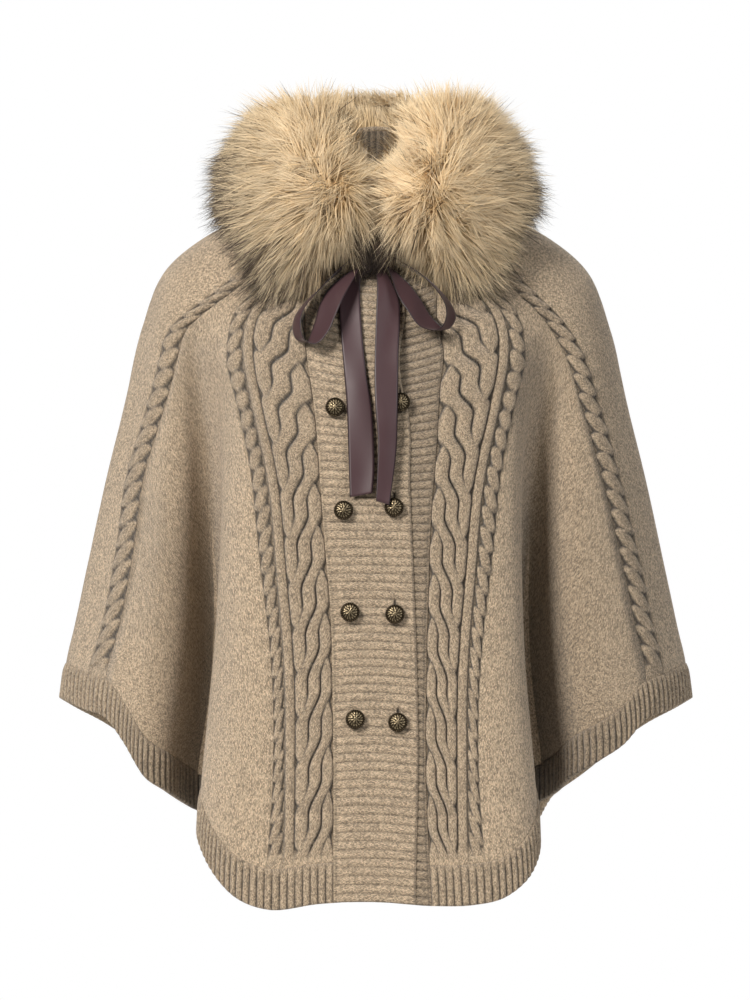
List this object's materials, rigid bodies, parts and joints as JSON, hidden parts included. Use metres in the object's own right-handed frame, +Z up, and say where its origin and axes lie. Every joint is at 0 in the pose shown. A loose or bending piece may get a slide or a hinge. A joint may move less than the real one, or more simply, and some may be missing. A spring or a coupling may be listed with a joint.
{
  "type": "knitted cape jacket",
  "caption": "Hip-length knitted cape with a full fur collar, a satin ribbon bow, cabled fronts, ribbed button bands and hem, and domed metal buttons.",
  "frame": {"origin": "middle of the neck, level with the high points of the shoulders, where a wearer or a hanger holds the cape", "axes": "+Z up, towards the collar's top; +Y towards the back; +X towards the wearer's left"},
  "size_m": [0.6676, 0.396, 0.8557],
  "materials": {
    "knit": "heather wool knit, matt",
    "fur": "long soft fur, cream and tan with dark tips",
    "ribbon": "plum-brown satin",
    "buttons": "antique brass, worn on the high places"
  },
  "bodies": {
    "root": {"front_right": "knit", "front_left": "knit", "side_right": "knit", "side_left": "knit", "back": "knit", "hem_front_right": "knit", "hem_front_left": "knit", "hem_side_right": "knit", "hem_side_left": "knit", "hem_back": "knit", "band_upper": "knit", "band_under": "knit", "collar_stand": "knit", "collar_fur": "fur", "ribbon_knot": "ribbon", "ribbon_loop_right": "ribbon", "ribbon_loop_left": "ribbon", "ribbon_tail_right": "ribbon", "ribbon_tail_left": "ribbon", "button_1_right": "buttons", "button_1_left": "buttons", "button_2_right": "buttons", "button_2_left": "buttons", "button_3_right": "buttons", "button_3_left": "buttons", "button_4_right": "buttons", "button_4_left": "buttons"}
  },
  "joints": []
}
